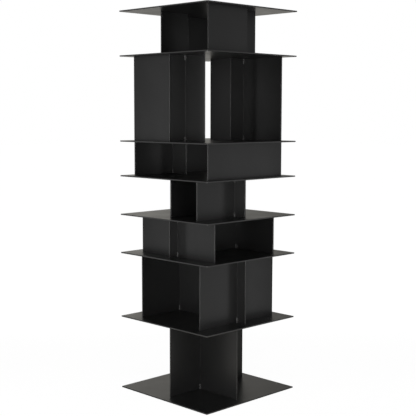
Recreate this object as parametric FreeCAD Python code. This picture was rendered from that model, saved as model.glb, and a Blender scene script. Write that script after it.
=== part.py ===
import FreeCAD, Part
import os

# A free-standing tower bookcase of black steel. Eight square plates lie one above the other,
# and seven tiers of upright plates hold them apart. Millimetres, +Z up. The origin is on the
# floor under the middle of the base plate, and the corner at +X and -Y is the front corner.

# Horizontal plates
plate_side = 600.0
plate_thickness = 6.0
plate_corner_radius = 2.0

# Upright plates
upright_thickness = 6.0
edge_radius = 1.5
edge_limit_share = 0.33
lap_clearance = 0.2
cut_overrun = 3.0

# Clear height of each tier, from the floor up
tier_1_height = 350.0
tier_2_height = 310.0
tier_3_height = 182.0
tier_4_height = 182.0
tier_5_height = 162.0
tier_6_height = 400.0
tier_7_height = 205.0

# In each tier, an end margin is how far the uprights' ends stand in from the plates' edges,
# and a plain margin is the same for the middle plane of an upright that runs along an edge.

# Tier 1: a spine with one wing on each side, the wings a little off the middle
tier_1_end_margin = 50.0
wing_offset = 50.0

# Tiers 2 and 3: two cheeks with a divider lapped through both, tier 3 turned a quarter
divider_end_margin = 45.0
cheek_end_margin = 50.0
cheek_margin = 100.0

# Tier 4: two plates that cross in the middle, and a side plate on each side of the cross
cross_end_margin = 50.0
tier_4_spine_end_margin = 55.0
side_plate_end_margin = 50.0
side_plate_margin = 120.0

# Tier 5: two outer cheeks, each with a short stub on its inner face
outer_cheek_end_margin = 50.0
outer_cheek_margin = 50.0
stub_length = 100.0

# Tiers 6 and 7: an outer plate, a return and an inner plate make a step, and a second step
# faces it from the other side. Tier 7 is turned a quarter.
step_end_margin = 50.0
step_margin = 50.0
step_depth = 100.0
inner_overrun = 10.0
tier_6_inner_reach = 132.0
tier_7_inner_reach = 167.0

# Short fillet welds at the foot and the head of each inner corner
weld_leg = 6.0
weld_length = 24.0
weld_crown_share = 0.58

half_thickness = upright_thickness / 2
half_side = plate_side / 2
tier_1_reach = half_side - tier_1_end_margin
divider_reach = half_side - divider_end_margin
cheek_reach = half_side - cheek_end_margin
cheek_offset = half_side - cheek_margin
cross_reach = half_side - cross_end_margin
tier_4_spine_reach = half_side - tier_4_spine_end_margin
side_plate_reach = half_side - side_plate_end_margin
side_plate_offset = half_side - side_plate_margin
outer_cheek_reach = half_side - outer_cheek_end_margin
outer_cheek_offset = half_side - outer_cheek_margin
step_reach = half_side - step_end_margin
step_offset = half_side - step_margin
tier_heights = [tier_1_height, tier_2_height, tier_3_height, tier_4_height,
                tier_5_height, tier_6_height, tier_7_height]
quarter_turn = 90.0
half_turn = 180.0

os.makedirs("parts", exist_ok=True)


def tier_floor(tier):
    """Height of the surface that a tier's uprights stand on, counted from tier 1."""
    return plate_thickness * tier + sum(tier_heights[:tier - 1])


def save(name, shape):
    """Writes one named piece, or one group of like pieces."""
    shape.exportStep("parts/" + name + ".step")


def turned(shape, angle):
    """A copy of a shape, turned about the tower's upright middle line."""
    copy = shape.copy()
    copy.rotate(FreeCAD.Vector(0, 0, 0), FreeCAD.Vector(0, 0, 1), angle)
    return copy


def round_edges(shape, radius, wanted):
    """Rounds the edges whose two end points both pass the test."""
    edges = []
    for edge in shape.Edges:
        if len(edge.Vertexes) == 2 and wanted(edge.Vertexes[0].Point, edge.Vertexes[1].Point):
            edges.append(edge)
    return shape.makeFillet(radius, edges) if edges else shape


def upright_edge(a, b):
    """Whether an edge between two points stands upright."""
    return abs(a.x - b.x) + abs(a.y - b.y) < abs(a.z - b.z)


def square_plate(level):
    """A horizontal plate whose underside is at the given level, with eased corners and edges."""
    corner = FreeCAD.Vector(-half_side, -half_side, level)
    plate = Part.makeBox(plate_side, plate_side, plate_thickness, corner)
    plate = round_edges(plate, plate_corner_radius, upright_edge)
    rim = min(edge_radius, plate_thickness * edge_limit_share)
    return round_edges(plate, rim, lambda a, b: abs(a.z - b.z) < rim)


def upright(tier, place, start, end, free_start, free_end, slots=(), slots_open_up=False):
    """An upright plate that runs along X at y = place, with its free ends eased.

    Each slot takes a crossing plate in a half lap, and opens at the head or at the foot.
    """
    floor = tier_floor(tier)
    height = tier_heights[tier - 1]
    corner = FreeCAD.Vector(start, place - half_thickness, floor)
    plate = Part.makeBox(end - start, upright_thickness, height, corner)
    ease = min(edge_radius, upright_thickness * edge_limit_share)
    free = [x for x, is_free in ((start, free_start), (end, free_end)) if is_free]
    plate = round_edges(plate, ease, lambda a, b: upright_edge(a, b)
                        and any(abs(a.x - x) < ease for x in free))
    half_slot = half_thickness + lap_clearance
    half_cut = half_thickness + cut_overrun
    for x in slots:
        low = floor + height / 2 if slots_open_up else floor - cut_overrun
        deep = height / 2 + cut_overrun
        near = FreeCAD.Vector(x - half_slot, place - half_cut, low)
        plate = plate.cut(Part.makeBox(half_slot * 2, half_cut * 2, deep, near))
    return plate


def weld(tier, x, y, toward_x, toward_y, at_head):
    """A short fillet weld in the corner where the faces at x and at y meet."""
    floor = tier_floor(tier)
    head = floor + tier_heights[tier - 1]
    level = head - weld_length if at_head else floor
    root = FreeCAD.Vector(x, y, level)
    on_y_face = FreeCAD.Vector(x + toward_x * weld_leg, y, level)
    on_x_face = FreeCAD.Vector(x, y + toward_y * weld_leg, level)
    crown = FreeCAD.Vector(x + toward_x * weld_leg * weld_crown_share,
                           y + toward_y * weld_leg * weld_crown_share, level)
    outline = Part.Wire([Part.LineSegment(root, on_y_face).toShape(),
                         Part.Arc(on_y_face, crown, on_x_face).toShape(),
                         Part.LineSegment(on_x_face, root).toShape()])
    return Part.Face(outline).extrude(FreeCAD.Vector(0, 0, weld_length))


def corner_welds(tier, corners):
    """The welds at the foot and head of corners: middle of the joint, and the way each opens."""
    beads = []
    for x, y, toward_x, toward_y in corners:
        for at_head in (False, True):
            beads.append(weld(tier, x + toward_x * half_thickness, y + toward_y * half_thickness,
                              toward_x, toward_y, at_head))
    return beads


def save_welds(tier, beads):
    """Writes a tier's welds with their partners on the far side of the middle line."""
    partners = [turned(bead, half_turn) for bead in beads]
    save(f"tier_{tier}_welds", Part.makeCompound(beads + partners))


def horizontal_plates():
    """The base plate, the six shelf plates and the top plate."""
    save("base_plate", square_plate(0))
    last = len(tier_heights) + 1
    for tier in range(2, last):
        save(f"shelf_plate_{tier - 1}", square_plate(tier_floor(tier) - plate_thickness))
    save("top_plate", square_plate(tier_floor(last) - plate_thickness))


def winged_tier():
    """Tier 1: the spine runs along Y, and each wing stands against one of its faces."""
    tier = 1
    spine = upright(tier, 0, -tier_1_reach, tier_1_reach, True, True)
    wing = upright(tier, -wing_offset, half_thickness, tier_1_reach, False, True)
    save("tier_1_spine", turned(spine, quarter_turn))
    save("tier_1_wing_front", wing)
    save("tier_1_wing_rear", turned(wing, half_turn))
    save_welds(tier, corner_welds(tier, [(0, -wing_offset, 1, -1), (0, -wing_offset, 1, 1)]))


def divided_tier(tier, turn, cheek_names):
    """Tiers 2 and 3: a divider along X is lapped through two cheeks that run along Y."""
    divider = upright(tier, 0, -divider_reach, divider_reach, True, True,
                      slots=(-cheek_offset, cheek_offset), slots_open_up=False)
    across = upright(tier, -cheek_offset, -cheek_reach, cheek_reach, True, True,
                     slots=(0,), slots_open_up=True)
    cheek = turned(across, quarter_turn)
    save(f"tier_{tier}_divider", turned(divider, turn))
    save(f"tier_{tier}_cheek_{cheek_names[0]}", turned(cheek, turn))
    save(f"tier_{tier}_cheek_{cheek_names[1]}", turned(cheek, turn + half_turn))
    corners = [(cheek_offset, 0, toward_x, toward_y) for toward_x in (1, -1) for toward_y in (1, -1)]
    save_welds(tier, [turned(bead, turn) for bead in corner_welds(tier, corners)])


def crossed_tier():
    """Tier 4: a cross of two plates lapped in the middle, and a side plate on each side of one."""
    tier = 4
    cross = upright(tier, 0, -cross_reach, cross_reach, True, True, slots=(0,), slots_open_up=False)
    spine = upright(tier, 0, -tier_4_spine_reach, tier_4_spine_reach, True, True,
                    slots=(0,), slots_open_up=True)
    side_plate = upright(tier, -side_plate_offset, -side_plate_reach, -half_thickness, True, False)
    save("tier_4_cross", cross)
    save("tier_4_spine", turned(spine, quarter_turn))
    save("tier_4_side_plate_front", turned(side_plate, quarter_turn))
    save("tier_4_side_plate_rear", turned(side_plate, quarter_turn + half_turn))
    save_welds(tier, corner_welds(tier, [(0, 0, 1, -1), (0, 0, 1, 1),
                                         (side_plate_offset, 0, 1, -1),
                                         (side_plate_offset, 0, -1, -1)]))


def stubbed_tier():
    """Tier 5: two outer cheeks run along Y, and each has a short stub on its inner face."""
    tier = 5
    across = upright(tier, -outer_cheek_offset, -outer_cheek_reach, outer_cheek_reach, True, True)
    cheek = turned(across, quarter_turn)
    stub = upright(tier, 0, outer_cheek_offset - stub_length,
                   outer_cheek_offset - half_thickness, True, False)
    save("tier_5_cheek_right", cheek)
    save("tier_5_cheek_left", turned(cheek, half_turn))
    save("tier_5_stub_right", stub)
    save("tier_5_stub_left", turned(stub, half_turn))
    save_welds(tier, corner_welds(tier, [(outer_cheek_offset, 0, -1, 1),
                                         (outer_cheek_offset, 0, -1, -1)]))


def stepped_tier(tier, turn, inner_reach, sides):
    """Tiers 6 and 7: an outer plate, a return behind its end and an inner plate, and their partners."""
    inner_place = step_offset - step_depth
    outer = upright(tier, -step_offset, -step_reach, half_thickness, True, True)
    back = turned(upright(tier, 0, -step_offset + half_thickness, -inner_place - half_thickness,
                          False, False), quarter_turn)
    inner = upright(tier, -inner_place, -inner_overrun, inner_reach, True, True)
    for side, angle in zip(sides, (turn, turn + half_turn)):
        save(f"tier_{tier}_outer_{side}", turned(outer, angle))
        save(f"tier_{tier}_return_{side}", turned(back, angle))
        save(f"tier_{tier}_inner_{side}", turned(inner, angle))
    beads = corner_welds(tier, [(0, -step_offset, -1, 1), (0, -inner_place, 1, -1)])
    save_welds(tier, [turned(bead, turn) for bead in beads])


horizontal_plates()
winged_tier()
divided_tier(2, 0, ("right", "left"))
divided_tier(3, quarter_turn, ("rear", "front"))
crossed_tier()
stubbed_tier()
stepped_tier(6, 0, tier_6_inner_reach, ("front", "rear"))
stepped_tier(7, quarter_turn, tier_7_inner_reach, ("right", "left"))
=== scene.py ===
"""A free-standing tower bookcase of black powder-coated steel, dressed for a studio picture.

Eight square plates lie one above the other, and seven tiers of upright plates hold them apart.
The CAD frame gives every place and size. The pieces here take them from it, in metres, and add
what a laser cutter, a welder and a spray booth leave behind: eased edges, rippled weld beads and
a satin coat with a fine orange peel.
"""

from __future__ import annotations

import logging
import math
from abc import ABC, abstractmethod
from collections.abc import Callable, Sequence
from dataclasses import dataclass
from enum import Enum

import bpy
from mathutils import Matrix, Vector

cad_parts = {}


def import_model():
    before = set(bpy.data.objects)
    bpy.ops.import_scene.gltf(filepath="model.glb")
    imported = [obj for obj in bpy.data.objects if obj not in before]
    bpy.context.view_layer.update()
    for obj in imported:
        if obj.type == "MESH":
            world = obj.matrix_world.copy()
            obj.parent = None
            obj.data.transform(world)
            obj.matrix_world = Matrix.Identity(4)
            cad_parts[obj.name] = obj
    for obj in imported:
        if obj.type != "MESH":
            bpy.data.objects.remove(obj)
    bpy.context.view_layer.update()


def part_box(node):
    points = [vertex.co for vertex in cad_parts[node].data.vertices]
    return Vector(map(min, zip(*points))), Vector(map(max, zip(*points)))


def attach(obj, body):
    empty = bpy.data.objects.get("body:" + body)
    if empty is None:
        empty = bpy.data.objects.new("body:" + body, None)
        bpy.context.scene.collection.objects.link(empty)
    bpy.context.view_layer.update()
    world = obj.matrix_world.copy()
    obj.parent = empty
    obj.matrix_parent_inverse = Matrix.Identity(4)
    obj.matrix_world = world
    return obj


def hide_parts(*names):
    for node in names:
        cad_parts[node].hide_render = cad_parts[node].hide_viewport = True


LOG = logging.getLogger("tower_bookcase")
MM = 0.001
# Two places that are nearer than this, in metres, count as one.
TOUCH = 0.00002
# A face lies flat if its normal stands up or down by more than this.
FLAT = 0.99
# An eased edge is shaded round up to this angle between its faces, in degrees.
EASED_ANGLE = 40.0
# At this weight, the highest, the broad faces alone decide which way a shared normal points.
BROAD_FACE_WEIGHT = 100
WHITE = "FFFFFF"
WARM_WHITE = "FFFCF4"


class Run(Enum):
    """The way an upright plate runs, seen from above. The value is its axis's number."""

    ALONG_X = 0
    ALONG_Y = 1


class Mouth(Enum):
    """The end of an upright at which its half-lap slots open."""

    FOOT = 0
    HEAD = 1


class Side(Enum):
    """The way a face looks along its axis. The value is the sign of its normal."""

    LOW = -1
    HIGH = 1


def linear(hex_colour: str) -> tuple[float, float, float, float]:
    """Turns an sRGB colour into the linear values that shaders take, by the standard's curve.

    Args:
        hex_colour: The colour as six hex digits.

    Returns:
        Red, green, blue and an alpha of 1.
    """
    parts = [int(hex_colour[i : i + 2], 16) / 255 for i in (0, 2, 4)]
    red, green, blue = (
        c / 12.92 if c <= 0.04045 else ((c + 0.055) / 1.055) ** 2.4 for c in parts
    )
    return red, green, blue, 1.0


def add_node(
    tree: bpy.types.NodeTree,
    kind: str,
    settings: dict[str, object] | None = None,
    links: dict[str | int, bpy.types.NodeSocket] | None = None,
    values: dict[str | int, object] | None = None,
) -> bpy.types.Node:
    """Adds a node with its settings, socket values and links.

    Args:
        tree: The node tree that takes the node.
        kind: The node's type name.
        settings: Properties of the node itself.
        links: Input name or number to the output that feeds it.
        values: Input name or number to its fixed value.

    Returns:
        The new node.
    """
    node = tree.nodes.new(kind)
    for key, value in (settings or {}).items():
        setattr(node, key, value)
    for key, value in (values or {}).items():
        node.inputs[key].default_value = value
    for key, socket in (links or {}).items():
        tree.links.new(socket, node.inputs[key])
    return node


def empty_material(name: str) -> tuple[bpy.types.Material, bpy.types.NodeTree]:
    """Makes a material with an empty node tree.

    Args:
        name: The material's name.

    Returns:
        The material and its tree.
    """
    material = bpy.data.materials.new(name)
    material.use_nodes = True
    material.node_tree.nodes.clear()
    return material, material.node_tree


@dataclass(frozen=True)
class PowderCoat:
    """A thermoset powder coat, sprayed dry and baked on steel.

    As it flows out in the oven it levels into a satin film with a fine orange peel, a little
    uneven in gloss from one hand's breadth to the next. Its sizes are in millimetres. The gloss
    goes through its full range while the drift's noise goes from noise_low to noise_high.
    """

    name: str
    colour: str
    thin_colour: str
    roughness: float
    gloss_drift: float = 0.035
    drift_mm: float = 140.0
    drift_octaves: float = 3.0
    noise_low: float = 0.3
    noise_high: float = 0.7
    peel_mm: float = 2.4
    peel_depth_mm: float = 0.012
    grain_mm: float = 0.55
    grain_depth_mm: float = 0.003
    fine_octaves: float = 1.0
    ior: float = 1.5
    specular: float = 0.5

    def build(self) -> bpy.types.Material:
        """Builds the coat's material.

        Returns:
            The material, which reads Object coordinates only.
        """
        material, tree = empty_material(self.name)
        place = add_node(tree, "ShaderNodeTexCoord").outputs["Object"]
        drift = self.noise(tree, place, self.drift_mm, self.drift_octaves)
        peel = self.noise(tree, place, self.peel_mm, self.fine_octaves)
        grain = self.noise(tree, place, self.grain_mm, self.fine_octaves)
        rough = add_node(
            tree, "ShaderNodeMapRange", links={"Value": drift},
            values={"From Min": self.noise_low, "From Max": self.noise_high,
                    "To Min": self.roughness - self.gloss_drift,
                    "To Max": self.roughness + self.gloss_drift})
        tone = add_node(
            tree, "ShaderNodeMix", {"data_type": "RGBA"}, {"Factor": drift},
            {"A": linear(self.colour), "B": linear(self.thin_colour)})
        fine = add_node(tree, "ShaderNodeBump", links={"Height": grain},
                        values={"Distance": self.grain_depth_mm * MM, "Strength": 1.0})
        skin = add_node(tree, "ShaderNodeBump", links={"Height": peel, "Normal": fine.outputs["Normal"]},
                        values={"Distance": self.peel_depth_mm * MM, "Strength": 1.0})
        shader = add_node(
            tree, "ShaderNodeBsdfPrincipled",
            links={"Base Color": tone.outputs["Result"], "Roughness": rough.outputs["Result"],
                   "Normal": skin.outputs["Normal"]},
            values={"IOR": self.ior, "Specular IOR Level": self.specular, "Metallic": 0.0})
        add_node(tree, "ShaderNodeOutputMaterial", links={"Surface": shader.outputs["BSDF"]})
        return material

    def noise(
        self, tree: bpy.types.NodeTree, place: bpy.types.NodeSocket, size_mm: float, octaves: float
    ) -> bpy.types.NodeSocket:
        """Adds a noise of one cell size.

        Args:
            tree: The coat's node tree.
            place: The coordinates it reads.
            size_mm: The size of one cell.
            octaves: How many finer octaves lie over it.

        Returns:
            The noise's value.
        """
        return add_node(tree, "ShaderNodeTexNoise", links={"Vector": place},
                        values={"Scale": 1 / (size_mm * MM), "Detail": octaves}).outputs["Fac"]


# The same neutral black on every piece. On plates that lie flat in the oven the film levels out a
# little smoother than on uprights. It draws back from the plates' rims, which catch the light, and
# over a weld it is thin and follows the ripples.
PLATE_COAT = PowderCoat("satin_black_powder_coat_on_plates", "121212", "0F0F0F", 0.31,
                        specular=0.42)
UPRIGHT_COAT = PowderCoat("satin_black_powder_coat_on_uprights", "121212", "0F0F0F", 0.34)
RIM_COAT = PowderCoat("satin_black_powder_coat_drawn_thin_on_rims", "131313", "101010", 0.32,
                      gloss_drift=0.02, specular=0.85)
WELD_COAT = PowderCoat("satin_black_powder_coat_over_welds", "131313", "101010", 0.43,
                       peel_mm=1.6, peel_depth_mm=0.01, specular=0.34)


def only(piece: bpy.types.Object) -> None:
    """Selects one object alone and makes it active.

    Args:
        piece: The object.
    """
    bpy.ops.object.select_all(action="DESELECT")
    piece.select_set(True)
    bpy.context.view_layer.objects.active = piece


def bevel_where(
    piece: bpy.types.Object, wanted: Callable[[Vector, Vector], bool], width: float, segments: int
) -> None:
    """Bevels the edges whose two end points pass a test.

    Args:
        piece: The mesh object, in object mode.
        wanted: Says of an edge's two end points whether it is bevelled.
        width: The bevel's width, in metres.
        segments: How many faces round it.
    """
    only(piece)
    bpy.ops.object.mode_set(mode="EDIT")
    bpy.ops.mesh.select_mode(type="EDGE")
    bpy.ops.mesh.select_all(action="DESELECT")
    bpy.ops.object.mode_set(mode="OBJECT")
    mesh = piece.data
    for edge in mesh.edges:
        a, b = (mesh.vertices[i].co for i in edge.vertices)
        edge.select = wanted(a, b)
    bpy.ops.object.mode_set(mode="EDIT")
    bpy.ops.mesh.bevel(offset=width, offset_type="OFFSET", segments=segments, profile=0.5,
                       affect="EDGES")
    bpy.ops.object.mode_set(mode="OBJECT")


def smooth_edges(piece: bpy.types.Object) -> None:
    """Shades the eased edges round and leaves the broad faces dead flat.

    Args:
        piece: The mesh object.
    """
    only(piece)
    bpy.ops.object.shade_smooth_by_angle(angle=math.radians(EASED_ANGLE))
    bpy.ops.object.modifier_add(type="WEIGHTED_NORMAL")
    modifier = piece.modifiers[-1]
    modifier.keep_sharp = True
    modifier.weight = BROAD_FACE_WEIGHT
    bpy.ops.object.modifier_apply(modifier=modifier.name)


def block(name: str, low: Vector, high: Vector) -> bpy.types.Object:
    """Adds a cube primitive at its size and place, with the place in its mesh.

    Args:
        name: The object's name.
        low: Its lowest corner.
        high: Its highest corner.

    Returns:
        The new object, at the origin.
    """
    bpy.ops.object.select_all(action="DESELECT")
    bpy.ops.mesh.primitive_cube_add(size=1, location=(low + high) / 2)
    piece = bpy.context.view_layer.objects.active
    piece.name = piece.data.name = name
    piece.scale = high - low
    bpy.ops.object.transform_apply(location=True, rotation=True, scale=True)
    return piece


def outline_face(name: str, section: Sequence[Vector]) -> bpy.types.Object:
    """Lays out a flat outline from a circle primitive, ready to be extruded.

    Args:
        name: The object's name.
        section: The outline's points at height 0.

    Returns:
        The outline as one face, at the origin, selected all over in edit mode.
    """
    bpy.ops.object.select_all(action="DESELECT")
    bpy.ops.mesh.primitive_circle_add(vertices=len(section), radius=1, fill_type="NGON")
    piece = bpy.context.view_layer.objects.active
    piece.name = piece.data.name = name
    for vertex, point in zip(piece.data.vertices, section):
        vertex.co = point
    bpy.ops.object.mode_set(mode="EDIT")
    bpy.ops.mesh.select_all(action="SELECT")
    return piece


def turn_faces_out() -> None:
    """Turns the faces of the mesh in edit mode outwards, and goes back to object mode."""
    bpy.ops.mesh.select_all(action="SELECT")
    bpy.ops.mesh.normals_make_consistent(inside=False)
    bpy.ops.object.mode_set(mode="OBJECT")


def face_place(node: str, side: Side, axis: int) -> float:
    """Finds where a CAD node's low or high face lies.

    Args:
        node: The CAD node.
        side: Which of the two faces.
        axis: 0 for the faces that look along X, 1 for Y.

    Returns:
        The face's place along that axis.
    """
    low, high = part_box(node)
    return high[axis] if side is Side.HIGH else low[axis]


def dress(
    piece: bpy.types.Object,
    node: str,
    coat: bpy.types.Material,
    rim: bpy.types.Material | None = None,
    on_rim: Callable[[bpy.types.MeshPolygon], bool] | None = None,
) -> bpy.types.Object:
    """Coats a finished piece and puts it in the place of its CAD node.

    Args:
        piece: The finished mesh object.
        node: The CAD node that it stands for.
        coat: Its coat.
        rim: The coat on its rim, if it has one of its own.
        on_rim: Says of a face whether it belongs to the rim.

    Returns:
        The same object.
    """
    piece.data.materials.clear()
    piece.data.materials.append(coat)
    if rim and on_rim:
        piece.data.materials.append(rim)
        for face in piece.data.polygons:
            face.material_index = int(on_rim(face))
    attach(piece, "root")
    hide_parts(node)
    return piece


@dataclass
class SquarePlate:
    """A horizontal plate: laser-cut, with eased corners and deburred rims."""

    node: str
    corner_radius: float = 2.0 * MM
    rim_radius: float = 1.5 * MM
    segments: int = 3

    def build(self, coat: bpy.types.Material, rim: bpy.types.Material) -> bpy.types.Object:
        """Builds the plate in its node's place.

        Args:
            coat: The powder coat on its broad faces.
            rim: The powder coat on its rim.

        Returns:
            The finished plate.
        """
        piece = block(f"{self.node}_sheet", *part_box(self.node))
        # The four upright edges come first, and then all edges round the top and the bottom.
        bevel_where(piece, lambda a, b: abs(a.z - b.z) > TOUCH, self.corner_radius, self.segments)
        bevel_where(piece, lambda a, b: abs(a.z - b.z) < TOUCH, self.rim_radius, self.segments)
        smooth_edges(piece)
        return dress(piece, self.node, coat, rim, lambda face: abs(face.normal.z) < FLAT)


@dataclass
class Upright:
    """An upright plate, with eased free ends and half-lap slots for the plates it crosses."""

    node: str
    run: Run
    free_ends: tuple[Side, ...] = (Side.LOW, Side.HIGH)
    crossed_by: tuple[str, ...] = ()
    mouth: Mouth = Mouth.FOOT
    edge_radius: float = 1.5 * MM
    lap_clearance: float = 0.2 * MM
    cut_overrun: float = 3.0 * MM
    segments: int = 3

    def build(self, coat: bpy.types.Material) -> bpy.types.Object:
        """Builds the upright in its node's place.

        Args:
            coat: The powder coat it gets.

        Returns:
            The finished upright.
        """
        piece = block(f"{self.node}_sheet", *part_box(self.node))
        ends = [face_place(self.node, side, self.run.value) for side in self.free_ends]
        if ends:
            bevel_where(piece, lambda a, b: self.at_free_end(a, b, ends), self.edge_radius,
                        self.segments)
        for node in self.crossed_by:
            self.cut_slot(piece, node)
        smooth_edges(piece)
        return dress(piece, self.node, coat)

    def at_free_end(self, a: Vector, b: Vector, ends: Sequence[float]) -> bool:
        """Whether an edge stands upright at one of the free ends.

        Args:
            a: One end of the edge.
            b: The other end.
            ends: The free ends' places along the run.

        Returns:
            True for an upright edge at a free end.
        """
        stands = abs(a.z - b.z) > TOUCH
        return stands and any(abs(a[self.run.value] - end) < TOUCH for end in ends)

    def cut_slot(self, piece: bpy.types.Object, node: str) -> None:
        """Cuts the half lap that takes a crossing upright.

        Args:
            piece: The upright's object.
            node: The CAD node of the upright that crosses it.
        """
        low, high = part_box(self.node)
        cross_low, cross_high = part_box(node)
        along, across = self.run.value, 1 - self.run.value
        half_height = (high.z - low.z) / 2
        cut_low, cut_high = low.copy(), high.copy()
        cut_low[along] = cross_low[along] - self.lap_clearance
        cut_high[along] = cross_high[along] + self.lap_clearance
        cut_low[across] -= self.cut_overrun
        cut_high[across] += self.cut_overrun
        if self.mouth is Mouth.HEAD:
            cut_low.z, cut_high.z = low.z + half_height, high.z + self.cut_overrun
        else:
            cut_low.z, cut_high.z = low.z - self.cut_overrun, high.z - half_height
        cutter = block("slot_cutter", cut_low, cut_high)
        only(piece)
        bpy.ops.object.modifier_add(type="BOOLEAN")
        modifier = piece.modifiers[-1]
        modifier.operation = "DIFFERENCE"
        modifier.solver = "EXACT"
        modifier.object = cutter
        bpy.ops.object.modifier_apply(modifier=modifier.name)
        bpy.data.meshes.remove(cutter.data)


@dataclass
class Corner:
    """An inner corner between an upright that runs along Y and one that runs along X."""

    x_face_of: str
    x_side: Side
    y_face_of: str
    y_side: Side

    def root(self) -> tuple[float, float]:
        """The x and y at which the two faces meet."""
        return face_place(self.x_face_of, self.x_side, 0), face_place(self.y_face_of, self.y_side, 1)


@dataclass
class WeldBeads:
    """The short fillet welds of one tier, at the foot and the head of its inner corners.

    A bead is a row of overlapping puddles, so its crown ripples along its length. The crown's
    middle lies crown_share of a leg out from both plates, where half a leg would be flat, and over
    its last stretch, the taper, the bead narrows to tip_share. Between the beads the powder coat
    bridges the corner with a small hollow film.
    """

    node: str
    corners: Sequence[Corner]
    film_radius: float = 0.6 * MM
    film_points: int = 5
    film_overlap: float = 4.0 * MM
    leg: float = 6.0 * MM
    length: float = 24.0 * MM
    crown_share: float = 0.58
    crown_points: int = 6
    ripple_pitch: float = 3.0 * MM
    ripple_share: float = 0.11
    rings_per_ripple: int = 4
    taper: float = 8.0 * MM
    tip_share: float = 0.3
    smooth_angle: float = 55.0

    def outline(self) -> list[Vector]:
        """Lays out the bead's section: the root, then the crown from leg to leg.

        Returns:
            The section's points at height 0, with the root at the origin.
        """
        bulge = self.crown_share * self.leg - self.leg / 2
        points = [Vector((0, 0, 0))]
        for i in range(self.crown_points + 1):
            t = i / self.crown_points
            lift = bulge * 4 * t * (1 - t)
            points.append(Vector((self.leg * (1 - t) + lift, self.leg * t + lift, 0)))
        return points

    def swell(self, height: float) -> float:
        """The size of the section at a height, as a share of the full one.

        Args:
            height: The height above the bead's start.

        Returns:
            The share, which dips between puddles and tapers at the far end.
        """
        phase = (height / self.ripple_pitch) % 1.0
        puddle = 1 - self.ripple_share * (1 - math.sin(math.pi * phase))
        left = max(self.length - height, 0.0) / self.taper
        return puddle * min(1.0, self.tip_share + (1 - self.tip_share) * math.sqrt(left))

    def one_bead(self) -> bpy.types.Object:
        """Models one bead that stands at the origin and fills the corner of +X and +Y.

        Returns:
            The bead.
        """
        bead = outline_face("weld_bead", self.outline())
        rings = round(self.length / self.ripple_pitch * self.rings_per_ripple)
        step = self.length / rings
        size = self.swell(0.0)
        bpy.ops.transform.resize(value=(size, size, 1), center_override=(0, 0, 0))
        for i in range(1, rings + 1):
            bpy.ops.mesh.extrude_region_move(TRANSFORM_OT_translate={"value": (0, 0, step)})
            share = self.swell(i * step) / size
            bpy.ops.transform.resize(value=(share, share, 1), center_override=(0, 0, i * step))
            size *= share
        turn_faces_out()
        return bead

    def one_film(self, height: float) -> bpy.types.Object:
        """Models one strip of film that stands at the origin and fills the corner of +X and +Y.

        Args:
            height: How tall the strip is.

        Returns:
            The strip.
        """
        r = self.film_radius
        angles = [math.pi / 2 * i / self.film_points for i in range(self.film_points + 1)]
        arc = [Vector((r - r * math.sin(a), r - r * math.cos(a), 0)) for a in angles]
        strip = outline_face("corner_film", [Vector((0, 0, 0)), *arc])
        bpy.ops.mesh.extrude_region_move(TRANSFORM_OT_translate={"value": (0, 0, height)})
        turn_faces_out()
        return strip

    def put(self, pattern: bpy.types.Object, corner: Corner, z: float, way: int) -> bpy.types.Object:
        """Copies a pattern into a corner.

        Args:
            pattern: The bead or strip at the origin.
            corner: The inner corner that takes it.
            z: The height of its start.
            way: 1 where it runs up from there, -1 where it hangs down.

        Returns:
            The copy, with a mesh of its own.
        """
        copy = pattern.copy()
        copy.data = pattern.data.copy()
        turn = Matrix.Diagonal((corner.x_side.value, corner.y_side.value, way, 1))
        copy.data.transform(Matrix.Translation((*corner.root(), z)) @ turn)
        if corner.x_side.value * corner.y_side.value * way < 0:
            copy.data.flip_normals()
        bpy.context.scene.collection.objects.link(copy)
        return copy

    def build(self, coat: bpy.types.Material) -> bpy.types.Object:
        """Copies the bead and the film into every corner and joins the tier's copies.

        Args:
            coat: The powder coat over the welds.

        Returns:
            The joined beads.
        """
        low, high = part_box(self.node)
        film_foot = low.z + self.length - self.film_overlap
        bead = self.one_bead()
        film = self.one_film(high.z - self.length + self.film_overlap - film_foot)
        copies = []
        for corner in self.corners:
            copies.append(self.put(bead, corner, low.z, 1))
            copies.append(self.put(bead, corner, high.z, -1))
            copies.append(self.put(film, corner, film_foot, 1))
        for pattern in (bead, film):
            bpy.data.meshes.remove(pattern.data)
        only(copies[0])
        for copy in copies:
            copy.select_set(True)
        bpy.ops.object.join()
        piece = bpy.context.view_layer.objects.active
        piece.name = piece.data.name = f"{self.node}_beads"
        only(piece)
        bpy.ops.object.shade_smooth_by_angle(angle=math.radians(self.smooth_angle))
        return dress(piece, self.node, coat)


@dataclass
class Coats:
    """The finished materials that the pieces share."""

    plate: bpy.types.Material
    rim: bpy.types.Material
    upright: bpy.types.Material
    weld: bpy.types.Material


@dataclass
class Tier(ABC):
    """One tier: its uprights and the welds between them."""

    number: int

    def name(self, plate: str) -> str:
        """The CAD node of one of the tier's plates, or of its welds."""
        return f"tier_{self.number}_{plate}"

    def crossing(self, along_y: str, along_x: str) -> list[Corner]:
        """Lists the corners where one of the tier's plates crosses another.

        Args:
            along_y: The plate that runs along Y.
            along_x: The plate that runs along X.

        Returns:
            The crossing's four inner corners.
        """
        return [Corner(self.name(along_y), a, self.name(along_x), b) for a in Side for b in Side]

    @abstractmethod
    def uprights(self) -> list[Upright]:
        """The tier's uprights."""

    @abstractmethod
    def corners(self) -> list[Corner]:
        """The tier's welded corners."""

    def build(self, coats: Coats) -> list[bpy.types.Object]:
        """Builds the tier's pieces.

        Args:
            coats: The finished materials.

        Returns:
            The uprights, and then the welds.
        """
        pieces = [upright.build(coats.upright) for upright in self.uprights()]
        return [*pieces, WeldBeads(self.name("welds"), self.corners()).build(coats.weld)]


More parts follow.
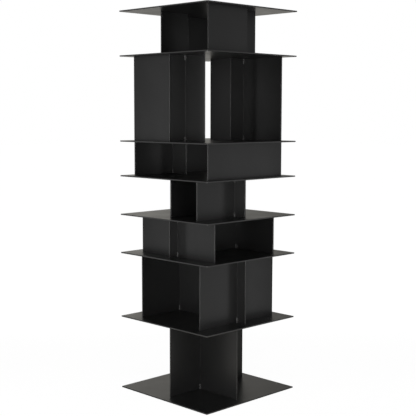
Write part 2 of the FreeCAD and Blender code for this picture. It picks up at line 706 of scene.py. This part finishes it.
@dataclass
class WingedTier(Tier):
    """Tier 1: a spine with a wing against each of its faces."""

    number: int = 1

    def uprights(self) -> list[Upright]:
        """Lists the plates.

        Returns:
            The spine and its two wings.
        """
        return [
            Upright(self.name("spine"), Run.ALONG_Y),
            Upright(self.name("wing_front"), Run.ALONG_X, free_ends=(Side.HIGH,)),
            Upright(self.name("wing_rear"), Run.ALONG_X, free_ends=(Side.LOW,)),
        ]

    def corners(self) -> list[Corner]:
        """Lists the welded corners.

        Returns:
            Both sides of both wings, where they meet the spine.
        """
        return [
            Corner(self.name("spine"), spine_side, self.name(wing), side)
            for wing, spine_side in (("wing_front", Side.HIGH), ("wing_rear", Side.LOW))
            for side in Side
        ]


@dataclass
class DividedTier(Tier):
    """Tiers 2 and 3: a divider lapped through two cheeks."""

    divider_run: Run
    cheeks: tuple[str, str]

    def uprights(self) -> list[Upright]:
        """Lists the plates.

        Returns:
            The divider and its two cheeks.
        """
        cheek_run = Run(1 - self.divider_run.value)
        cheeks = tuple(self.name(cheek) for cheek in self.cheeks)
        divider = self.name("divider")
        return [Upright(divider, self.divider_run, crossed_by=cheeks, mouth=Mouth.FOOT)] + [
            Upright(cheek, cheek_run, crossed_by=(divider,), mouth=Mouth.HEAD) for cheek in cheeks
        ]

    def corners(self) -> list[Corner]:
        """Lists the welded corners.

        Returns:
            All four corners of each crossing.
        """
        found = []
        for cheek in self.cheeks:
            if self.divider_run is Run.ALONG_X:
                found += self.crossing(along_y=cheek, along_x="divider")
            else:
                found += self.crossing(along_y="divider", along_x=cheek)
        return found


@dataclass
class CrossedTier(Tier):
    """Tier 4: two plates that cross in the middle, and a side plate on each side."""

    number: int = 4

    def uprights(self) -> list[Upright]:
        """Lists the plates.

        Returns:
            The cross, the spine and the two side plates.
        """
        cross, spine = self.name("cross"), self.name("spine")
        return [
            Upright(cross, Run.ALONG_X, crossed_by=(spine,), mouth=Mouth.FOOT),
            Upright(spine, Run.ALONG_Y, crossed_by=(cross,), mouth=Mouth.HEAD),
            Upright(self.name("side_plate_front"), Run.ALONG_Y, free_ends=(Side.LOW,)),
            Upright(self.name("side_plate_rear"), Run.ALONG_Y, free_ends=(Side.HIGH,)),
        ]

    def corners(self) -> list[Corner]:
        """Lists the welded corners.

        Returns:
            The four corners of the cross and both sides of each side plate.
        """
        found = self.crossing(along_y="spine", along_x="cross")
        for plate, cross_side in (("side_plate_front", Side.LOW), ("side_plate_rear", Side.HIGH)):
            found += [Corner(self.name(plate), a, self.name("cross"), cross_side) for a in Side]
        return found


@dataclass
class StubbedTier(Tier):
    """Tier 5: two outer cheeks, with a short stub on the inner face of each."""

    number: int = 5

    def uprights(self) -> list[Upright]:
        """Lists the plates.

        Returns:
            The cheeks and their stubs.
        """
        return [
            Upright(self.name("cheek_left"), Run.ALONG_Y),
            Upright(self.name("cheek_right"), Run.ALONG_Y),
            Upright(self.name("stub_left"), Run.ALONG_X, free_ends=(Side.HIGH,)),
            Upright(self.name("stub_right"), Run.ALONG_X, free_ends=(Side.LOW,)),
        ]

    def corners(self) -> list[Corner]:
        """Lists the welded corners.

        Returns:
            Both sides of each stub.
        """
        return [
            Corner(self.name(f"cheek_{hand}"), inner, self.name(f"stub_{hand}"), side)
            for hand, inner in (("left", Side.HIGH), ("right", Side.LOW))
            for side in Side
        ]


@dataclass
class SteppedTier(Tier):
    """Tiers 6 and 7: two steps, each made of an outer plate, a return and an inner plate."""

    outer_run: Run
    hands: tuple[str, str]

    def uprights(self) -> list[Upright]:
        """Lists the plates.

        Returns:
            The outer plate, the return and the inner plate of each step.
        """
        return_run = Run(1 - self.outer_run.value)
        found = []
        for hand in self.hands:
            found += [
                Upright(self.name(f"outer_{hand}"), self.outer_run),
                Upright(self.name(f"return_{hand}"), return_run, free_ends=()),
                Upright(self.name(f"inner_{hand}"), self.outer_run),
            ]
        return found

    def corners(self) -> list[Corner]:
        """Lists the welded corners.

        Returns:
            The inner corner at each end of each return.
        """
        found = []
        for hand, near, far in zip(self.hands, Side, reversed(Side)):
            outer, inner = self.name(f"outer_{hand}"), self.name(f"inner_{hand}")
            between = self.name(f"return_{hand}")
            if self.outer_run is Run.ALONG_X:
                found += [Corner(between, near, outer, far), Corner(between, far, inner, near)]
            else:
                found += [Corner(outer, near, between, near), Corner(inner, far, between, far)]
        return found


@dataclass
class TowerBookcase:
    """The whole bookcase: eight plates and seven tiers."""

    shelf_count: int = 6

    def build(self) -> list[bpy.types.Object]:
        """Builds and coats every piece.

        Returns:
            The plates and then each tier's pieces, floor up.
        """
        coats = Coats(PLATE_COAT.build(), RIM_COAT.build(), UPRIGHT_COAT.build(), WELD_COAT.build())
        shelves = [f"shelf_plate_{i}" for i in range(1, self.shelf_count + 1)]
        plates = ["base_plate", *shelves, "top_plate"]
        pieces = [SquarePlate(node).build(coats.plate, coats.rim) for node in plates]
        tiers = [
            WingedTier(),
            DividedTier(2, Run.ALONG_X, ("cheek_left", "cheek_right")),
            DividedTier(3, Run.ALONG_Y, ("cheek_front", "cheek_rear")),
            CrossedTier(),
            StubbedTier(),
            SteppedTier(6, Run.ALONG_X, ("front", "rear")),
            SteppedTier(7, Run.ALONG_Y, ("right", "left")),
        ]
        for tier in tiers:
            pieces += tier.build(coats)
        return pieces


@dataclass(frozen=True)
class Viewpoint:
    """Where the photograph was taken from. Lengths are in metres and angles in degrees."""

    azimuth: float = 45.267
    distance: float = 4.4814
    height: float = 1.3566
    pitch_down: float = 5.884
    roll: float = 0.115
    sideways: float = 0.0012
    lens_mm: float = 80.152
    sensor_mm: float = 36.0
    clip_end: float = 60.0

    def right(self) -> Vector:
        """The level direction to the viewer's right."""
        a = math.radians(self.azimuth)
        return Vector((math.cos(a), math.sin(a), 0))

    def ahead(self) -> Vector:
        """The level direction that the viewer faces."""
        a = math.radians(self.azimuth)
        return Vector((-math.sin(a), math.cos(a), 0))

    def build(self) -> None:
        """Sets up the scene's camera."""
        pitch, roll = math.radians(self.pitch_down), math.radians(self.roll)
        right = self.right()
        look = self.ahead() * math.cos(pitch) - Vector((0, 0, math.sin(pitch)))
        up = right.cross(look)
        rolled_right = right * math.cos(roll) + up * math.sin(roll)
        rolled_up = up * math.cos(roll) - right * math.sin(roll)
        place = Matrix((rolled_right, rolled_up, -look)).transposed().to_4x4()
        place.translation = (
            right * self.sideways - self.ahead() * self.distance + Vector((0, 0, self.height))
        )
        data = bpy.data.cameras.new("photo_camera")
        camera = bpy.data.objects.new("photo_camera", data)
        bpy.context.scene.collection.objects.link(camera)
        camera.matrix_world = place
        data.sensor_width = self.sensor_mm
        data.lens = self.lens_mm
        data.clip_end = self.clip_end
        bpy.context.scene.camera = camera


@dataclass(frozen=True)
class SoftBox:
    """A soft box on a stand. Its angle is counted round the tower from the camera's side."""

    name: str
    angle: float
    height: float
    width: float
    tall: float
    radiance: float
    distance: float = 3.2

    def build(self, view: Viewpoint, aim: Vector) -> None:
        """Puts the soft box in its place, turned to the tower.

        Args:
            view: The photograph's viewpoint.
            aim: The point that it faces.
        """
        a = math.radians(self.angle)
        way = view.right() * math.sin(a) - view.ahead() * math.cos(a)
        place = way * self.distance + Vector((0, 0, self.height))
        data = bpy.data.lights.new(self.name, "AREA")
        data.shape = "RECTANGLE"
        data.size, data.size_y = self.width, self.tall
        data.energy = self.radiance * math.pi * self.width * self.tall
        lamp = bpy.data.objects.new(self.name, data)
        bpy.context.scene.collection.objects.link(lamp)
        lamp.location = place
        lamp.rotation_euler = (aim - place).to_track_quat("-Z", "Y").to_euler()
        lamp.visible_camera = False


@dataclass(frozen=True)
class SideCard:
    """A tall board beside the tower that its faces mirror, painted light and dark along its length.

    The stops are pairs of a depth, counted in metres from the tower's middle away from the
    camera, and the board's glow there. Up to the height low_from the board has low_share of that
    glow, and above high_from it has high_share.
    """

    name: str
    side: Side
    stops: tuple[tuple[float, float], ...]
    offset: float = 1.25
    height: float = 2.6
    low_from: float = 1.2
    high_from: float = 1.9
    low_share: float = 1.06
    high_share: float = 0.7

    def build(self, view: Viewpoint) -> None:
        """Stands the card beside the tower.

        Args:
            view: The photograph's viewpoint.
        """
        bpy.ops.object.select_all(action="DESELECT")
        bpy.ops.mesh.primitive_plane_add(size=1)
        card = bpy.context.view_layer.objects.active
        card.name = card.data.name = self.name
        start, end = self.ends()
        out = view.right() * self.side.value
        foot = out * self.offset + view.ahead() * (start + end) / 2
        turn = Matrix((view.ahead(), Vector((0, 0, 1)), out)).transposed().to_4x4()
        card.data.transform(Matrix.Translation((0, self.height / 2, 0))
                            @ Matrix.Diagonal((end - start, self.height, 1, 1)))
        card.data.transform(Matrix.Translation(foot) @ turn)
        card.data.materials.append(self.glow(view))
        card.visible_camera = False

    def ends(self) -> tuple[float, float]:
        """The depths of the board's two ends."""
        return self.stops[0][0], self.stops[-1][0]

    def glow(self, view: Viewpoint) -> bpy.types.Material:
        """Builds the card's glow, which follows its stops.

        Args:
            view: The photograph's viewpoint.

        Returns:
            The material.
        """
        material, tree = empty_material(f"{self.name}_painted_board")
        place = add_node(tree, "ShaderNodeTexCoord").outputs["Object"]
        depth = add_node(tree, "ShaderNodeVectorMath", {"operation": "DOT_PRODUCT"}, {0: place},
                         {1: view.ahead()}).outputs["Value"]
        start, end = self.ends()
        share = add_node(tree, "ShaderNodeMapRange", links={"Value": depth},
                         values={"From Min": start, "From Max": end}).outputs["Result"]
        ramp = add_node(tree, "ShaderNodeValToRGB", links={"Fac": share})
        ramp.color_ramp.interpolation = "EASE"
        elements = ramp.color_ramp.elements
        peak = max(level for _, level in self.stops)
        # A new element waits in the middle of the ramp until it gets its place.
        while len(elements) < len(self.stops):
            elements.new(0.5)
        for element, (at, level) in zip(elements, self.stops):
            element.position = (at - start) / (end - start)
            element.color = (level / peak, level / peak, level / peak, 1)
        height = add_node(tree, "ShaderNodeSeparateXYZ", links={"Vector": place}).outputs["Z"]
        strength = add_node(tree, "ShaderNodeMapRange", links={"Value": height},
                            values={"From Min": self.low_from, "From Max": self.high_from,
                                    "To Min": peak * self.low_share,
                                    "To Max": peak * self.high_share}).outputs["Result"]
        glow = add_node(tree, "ShaderNodeEmission",
                        links={"Color": ramp.outputs["Color"], "Strength": strength})
        add_node(tree, "ShaderNodeOutputMaterial", links={"Surface": glow.outputs["Emission"]})
        return material


def show_by_ray(
    tree: bpy.types.NodeTree,
    output: str,
    plain: bpy.types.Node,
    mirrored: bpy.types.Node,
    seen: bpy.types.Node,
) -> None:
    """Gives the camera one shader, mirroring and glass another, and all other light a third.

    Args:
        tree: The node tree.
        output: The output node's type name.
        plain: The shader that lights the tower.
        mirrored: The shader that glossy and transmitted rays meet.
        seen: The shader that the camera sees.
    """
    path = add_node(tree, "ShaderNodeLightPath").outputs
    reflected = add_node(tree, "ShaderNodeMath", {"operation": "MAXIMUM"},
                         {0: path["Is Glossy Ray"], 1: path["Is Transmission Ray"]})
    unseen = add_node(tree, "ShaderNodeMixShader", links={
        0: reflected.outputs["Value"], 1: plain.outputs[0], 2: mirrored.outputs[0]})
    shown = add_node(tree, "ShaderNodeMixShader", links={
        0: path["Is Camera Ray"], 1: unseen.outputs[0], 2: seen.outputs[0]})
    add_node(tree, output, links={"Surface": shown.outputs[0]})


@dataclass(frozen=True)
class Floor:
    """The pale floor, which the camera sees white but for a faint shadow. Lengths are in metres.

    What the tower mirrors of it is painted light and shade. Near the tower it glows bright in front,
    from front_end towards the camera, as a floor lit from the front, and dull from rear_start on, as a
    painted shade of the tower. Beyond far_radius it is the same all round. Beside the base plate a
    painted contact shadow dulls it still more: contact_share of the light is left at the plate's edge,
    and all of it contact_reach away.
    """

    size: float = 60.0
    gap: float = 0.5 * MM
    colour: str = "E6E6E6"
    seen_colour: str = "404040"
    seen_near_glow: float = 0.97
    seen_far_glow: float = 1.0
    near_radius: float = 0.9
    far_radius: float = 2.6
    mirrored_painted_light: float = 1.0
    mirrored_painted_shade: float = 0.26
    mirrored_far: float = 0.51
    front_end: float = -0.5
    rear_start: float = 0.15
    contact_share: float = 0.4
    contact_reach: float = 0.08

    def build(self, view: Viewpoint) -> None:
        """Lays the floor.

        Args:
            view: The photograph's viewpoint.
        """
        bpy.ops.object.select_all(action="DESELECT")
        bpy.ops.mesh.primitive_plane_add(size=self.size)
        floor = bpy.context.view_layer.objects.active
        floor.name = floor.data.name = "studio_floor"
        floor.data.transform(Matrix.Translation((0, 0, -self.gap)))
        material, tree = empty_material("matt_white_studio_floor")
        place = add_node(tree, "ShaderNodeTexCoord").outputs["Object"]
        radius = add_node(tree, "ShaderNodeVectorMath", {"operation": "LENGTH"}, {0: place})
        away = add_node(tree, "ShaderNodeMapRange", {"interpolation_type": "SMOOTHSTEP"},
                        {"Value": radius.outputs["Value"]},
                        {"From Min": self.near_radius, "From Max": self.far_radius}).outputs["Result"]
        plain = add_node(tree, "ShaderNodeBsdfDiffuse", values={"Color": linear(self.colour)})
        show_by_ray(tree, "ShaderNodeOutputMaterial", plain, self.mirrored(tree, place, away, view),
                    self.seen(tree, away))
        floor.data.materials.append(material)

    def seen(self, tree: bpy.types.NodeTree, away: bpy.types.NodeSocket) -> bpy.types.Node:
        """Adds what the camera sees of the floor: a glow, and lamplight that the tower shades.

        Args:
            tree: The floor's node tree.
            away: How far out the floor is, from 0 near the tower to 1.

        Returns:
            The shader.
        """
        lit = add_node(tree, "ShaderNodeBsdfDiffuse", values={"Color": linear(self.seen_colour)})
        level = add_node(tree, "ShaderNodeMapRange", links={"Value": away},
                         values={"To Min": self.seen_near_glow, "To Max": self.seen_far_glow})
        glow = add_node(tree, "ShaderNodeEmission", links={"Strength": level.outputs["Result"]})
        return add_node(tree, "ShaderNodeAddShader", links={0: lit.outputs[0], 1: glow.outputs[0]})

    def mirrored(
        self,
        tree: bpy.types.NodeTree,
        place: bpy.types.NodeSocket,
        away: bpy.types.NodeSocket,
        view: Viewpoint,
    ) -> bpy.types.Node:
        """Adds what the tower mirrors of the floor, with its painted light in front and painted shade
        behind.

        Args:
            tree: The floor's node tree.
            place: The floor's Object coordinates.
            away: How far out the floor is, from 0 near the tower to 1.
            view: The photograph's viewpoint.

        Returns:
            The shader.
        """
        # Painted light and shade: the mirrored floor glows bright in front of the tower and dull behind
        # it.
        depth = add_node(tree, "ShaderNodeVectorMath", {"operation": "DOT_PRODUCT"}, {0: place},
                         {1: view.ahead()}).outputs["Value"]
        close = add_node(tree, "ShaderNodeMapRange", {"interpolation_type": "SMOOTHSTEP"},
                         {"Value": depth},
                         {"From Min": self.front_end, "From Max": self.rear_start,
                          "To Min": self.mirrored_painted_light, "To Max": self.mirrored_painted_shade})
        level = add_node(tree, "ShaderNodeMapRange",
                         links={"Value": away, "To Min": close.outputs["Result"]},
                         values={"To Max": self.mirrored_far})
        # A painted contact shadow dulls the mirrored glow beside the base plate.
        shaded = add_node(tree, "ShaderNodeMath", {"operation": "MULTIPLY"},
                          {0: level.outputs["Result"], 1: self.painted_contact_shadow(tree, place)})
        return add_node(tree, "ShaderNodeEmission", links={"Strength": shaded.outputs["Value"]},
                        values={"Color": linear(WARM_WHITE)})

    def painted_contact_shadow(
        self, tree: bpy.types.NodeTree, place: bpy.types.NodeSocket
    ) -> bpy.types.NodeSocket:
        """Dulls the floor beside the base plate with a painted contact shadow, as its rim mirrors it.

        Args:
            tree: The floor's node tree.
            place: The floor's Object coordinates.

        Returns:
            The share of the floor's level that is left there.
        """
        edge = face_place("base_plate", Side.HIGH, 0)
        size = add_node(tree, "ShaderNodeVectorMath", {"operation": "ABSOLUTE"}, {0: place})
        parts = add_node(tree, "ShaderNodeSeparateXYZ", links={"Vector": size.outputs["Vector"]})
        outward = add_node(tree, "ShaderNodeMath", {"operation": "MAXIMUM"},
                           {0: parts.outputs["X"], 1: parts.outputs["Y"]})
        return add_node(tree, "ShaderNodeMapRange", {"interpolation_type": "SMOOTHSTEP"},
                        {"Value": outward.outputs["Value"]},
                        {"From Min": edge, "From Max": edge + self.contact_reach,
                         "To Min": self.contact_share}).outputs["Result"]


@dataclass(frozen=True)
class Backdrop:
    """The world as a white backdrop that lights the tower only gently.

    The tower mirrors it brighter on the viewer's left than on the right. The change between them
    is spread over turn_width on each side of the middle.
    """

    ambient_level: float = 0.06
    seen_level: float = 1.0
    mirrored_left: float = 0.69
    mirrored_right: float = 0.26
    turn_width: float = 0.15

    def build(self, view: Viewpoint) -> None:
        """Hangs the backdrop.

        Args:
            view: The photograph's viewpoint.
        """
        world = bpy.data.worlds.new("white_backdrop")
        bpy.context.scene.world = world
        world.use_nodes = True
        tree = world.node_tree
        tree.nodes.clear()
        way = add_node(tree, "ShaderNodeTexCoord").outputs["Object"]
        across = add_node(tree, "ShaderNodeVectorMath", {"operation": "DOT_PRODUCT"}, {0: way},
                          {1: view.right()}).outputs["Value"]
        level = add_node(tree, "ShaderNodeMapRange", {"interpolation_type": "SMOOTHSTEP"},
                         {"Value": across},
                         {"From Min": -self.turn_width, "From Max": self.turn_width,
                          "To Min": self.mirrored_left, "To Max": self.mirrored_right})
        plain = add_node(tree, "ShaderNodeBackground",
                         values={"Color": linear(WHITE), "Strength": self.ambient_level})
        mirrored = add_node(tree, "ShaderNodeBackground", links={"Strength": level.outputs["Result"]},
                            values={"Color": linear(WARM_WHITE)})
        seen = add_node(tree, "ShaderNodeBackground",
                        values={"Color": linear(WHITE), "Strength": self.seen_level})
        show_by_ray(tree, "ShaderNodeOutputWorld", plain, mirrored, seen)


@dataclass(frozen=True)
class Studio:
    """A plain white studio: a pale floor, a white backdrop, soft boxes and two painted boards."""

    aim_height: float = 0.92

    def build(self, view: Viewpoint) -> None:
        """Sets up the floor, the backdrop and the lights.

        Args:
            view: The photograph's viewpoint.
        """
        Floor().build(view)
        Backdrop().build(view)
        aim = Vector((0, 0, self.aim_height))
        for box in self.soft_boxes():
            box.build(view, aim)
        for card in self.side_cards():
            card.build(view)

    def soft_boxes(self) -> list[SoftBox]:
        """Lists the lamps.

        Returns:
            Three soft boxes in front, one above them and two behind the tower.
        """
        front = [
            SoftBox("soft_box_middle", angle=-10, height=0.8, width=0.7, tall=1.6, radiance=16.5),
            SoftBox("soft_box_left", angle=-26, height=1.1, width=0.9, tall=2.2, radiance=3.0),
            SoftBox("soft_box_right", angle=20, height=1.1, width=0.9, tall=2.2, radiance=3.2),
            SoftBox("soft_box_above", angle=0, height=3.8, width=3.2, tall=1.6, radiance=1.5),
        ]
        rear = [
            SoftBox(f"soft_box_rear_{hand}", angle, height=1.4, width=1.2, tall=2.2, radiance=12.0)
            for hand, angle in (("left", -140), ("right", 140))
        ]
        return front + rear

    def side_cards(self) -> list[SideCard]:
        """Lists the boards.

        Returns:
            The board on the viewer's left and the one on the right.
        """
        return [
            SideCard("left_card", Side.LOW, (
                (-2.4, 1.1), (-1.8, 1.1), (-0.95, 0.9), (-0.55, 0.52), (-0.3, 0.38), (-0.06, 0.97),
                (0.12, 0.24), (0.35, 0.08), (0.85, 0.06), (1.3, 0.3), (2.4, 4.0))),
            SideCard("right_card", Side.HIGH, (
                (-2.4, 0.76), (-1.8, 0.76), (-0.95, 0.62), (-0.55, 0.42), (-0.3, 0.35), (-0.06, 0.9),
                (0.12, 0.26), (0.35, 0.04), (0.85, 0.04), (1.3, 0.2), (2.4, 4.0))),
        ]


def main() -> None:
    """Builds the bookcase, the camera and the studio."""
    logging.basicConfig(level=logging.INFO, format="%(name)s: %(message)s")
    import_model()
    bpy.context.scene.view_settings.view_transform = "Standard"
    for piece in TowerBookcase().build():
        x, y, z = piece.dimensions / MM
        LOG.info("%s: %.0f by %.0f by %.0f mm, %d faces, %s", piece.name, x, y, z,
                 len(piece.data.polygons), piece.data.materials[0].name)
    view = Viewpoint()
    view.build()
    Studio().build(view)


if __name__ == "__main__":
    main()
